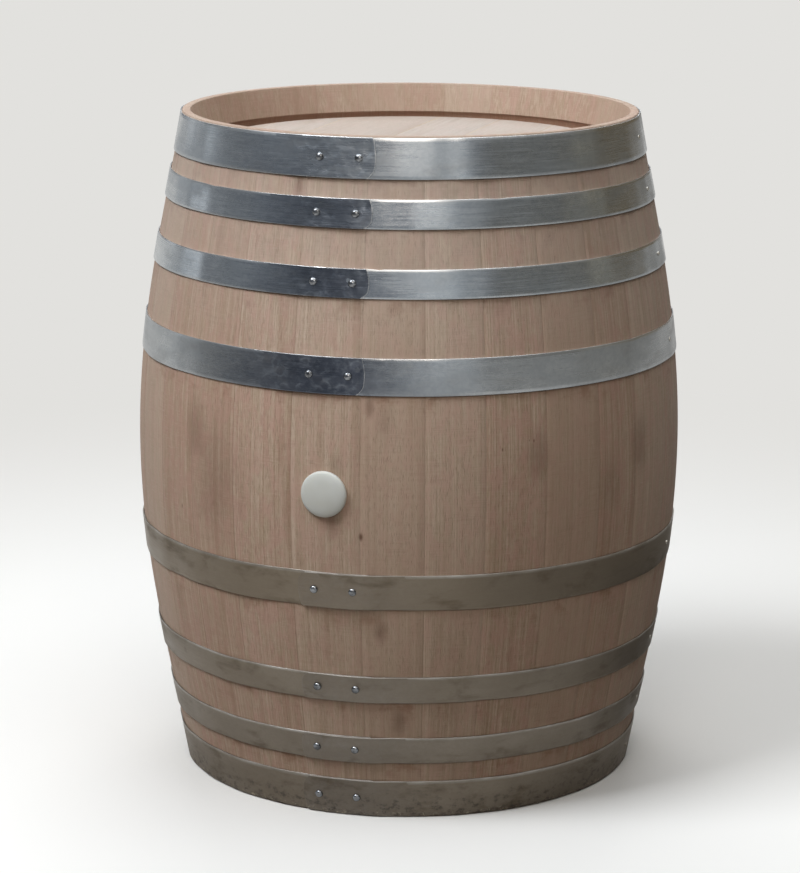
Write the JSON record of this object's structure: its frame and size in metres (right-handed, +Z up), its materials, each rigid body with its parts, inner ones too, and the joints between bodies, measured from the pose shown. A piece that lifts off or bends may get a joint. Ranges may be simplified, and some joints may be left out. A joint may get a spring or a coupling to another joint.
{
  "type": "wine barrel",
  "caption": "Oak wine barrel: bent staves held by riveted steel hoops, grooved-in board heads and a soft tapered side bung that pulls out.",
  "frame": {"origin": "centre of the lower end, on the barrel's axis, on the plane it stands on", "axes": "+Z up the barrel's axis, -Y out through the bung hole, +X to the right when the bung is faced"},
  "size_m": [0.7248, 0.7342, 0.88],
  "materials": {
    "stave_oak": "planed and sanded raw oak, matt",
    "head_oak": "planed and sanded raw oak, matt",
    "hoop_steel": "galvanised strip, soft sheen",
    "rivet_steel": "galvanised, hammered smooth",
    "nail_steel": "dull galvanised",
    "dowel_oak": "turned oak",
    "rush": "dried rush, pressed flat",
    "bung_silicone": "translucent white silicone, satin"
  },
  "bodies": {
    "barrel": {"bung_stave": "stave_oak", "stave_02": "stave_oak", "stave_03": "stave_oak", "stave_04": "stave_oak", "stave_05": "stave_oak", "stave_06": "stave_oak", "stave_07": "stave_oak", "stave_08": "stave_oak", "stave_09": "stave_oak", "stave_10": "stave_oak", "stave_11": "stave_oak", "stave_12": "stave_oak", "stave_13": "stave_oak", "stave_14": "stave_oak", "stave_15": "stave_oak", "stave_16": "stave_oak", "stave_17": "stave_oak", "stave_18": "stave_oak", "stave_19": "stave_oak", "stave_20": "stave_oak", "stave_21": "stave_oak", "stave_22": "stave_oak", "stave_23": "stave_oak", "stave_24": "stave_oak", "stave_25": "stave_oak", "stave_26": "stave_oak", "stave_27": "stave_oak", "stave_28": "stave_oak", "top_chime_hoop": "hoop_steel", "top_collar_hoop": "hoop_steel", "top_quarter_hoop": "hoop_steel", "top_bilge_hoop": "hoop_steel", "bottom_bilge_hoop": "hoop_steel", "bottom_quarter_hoop": "hoop_steel", "bottom_collar_hoop": "hoop_steel", "bottom_chime_hoop": "hoop_steel", "top_head_board_1": "head_oak", "top_head_board_2": "head_oak", "top_head_board_3": "head_oak", "top_head_board_4": "head_oak", "top_head_board_5": "head_oak", "top_head_board_6": "head_oak", "top_head_board_7": "head_oak", "bottom_head_board_1": "head_oak", "bottom_head_board_2": "head_oak", "bottom_head_board_3": "head_oak", "bottom_head_board_4": "head_oak", "bottom_head_board_5": "head_oak", "bottom_head_board_6": "head_oak", "bottom_head_board_7": "head_oak", "hoop_rivets": "rivet_steel", "hoop_nails": "nail_steel", "top_head_dowels": "dowel_oak", "bottom_head_dowels": "dowel_oak", "top_head_rush": "rush", "bottom_head_rush": "rush"},
    "bung": {"bung": "bung_silicone"}
  },
  "joints": [
    {"name": "bung_pull", "type": "slide", "parent": "barrel", "child": "bung", "axis": [0, -1, 0], "range_m": [0, 0.06]}
  ]
}
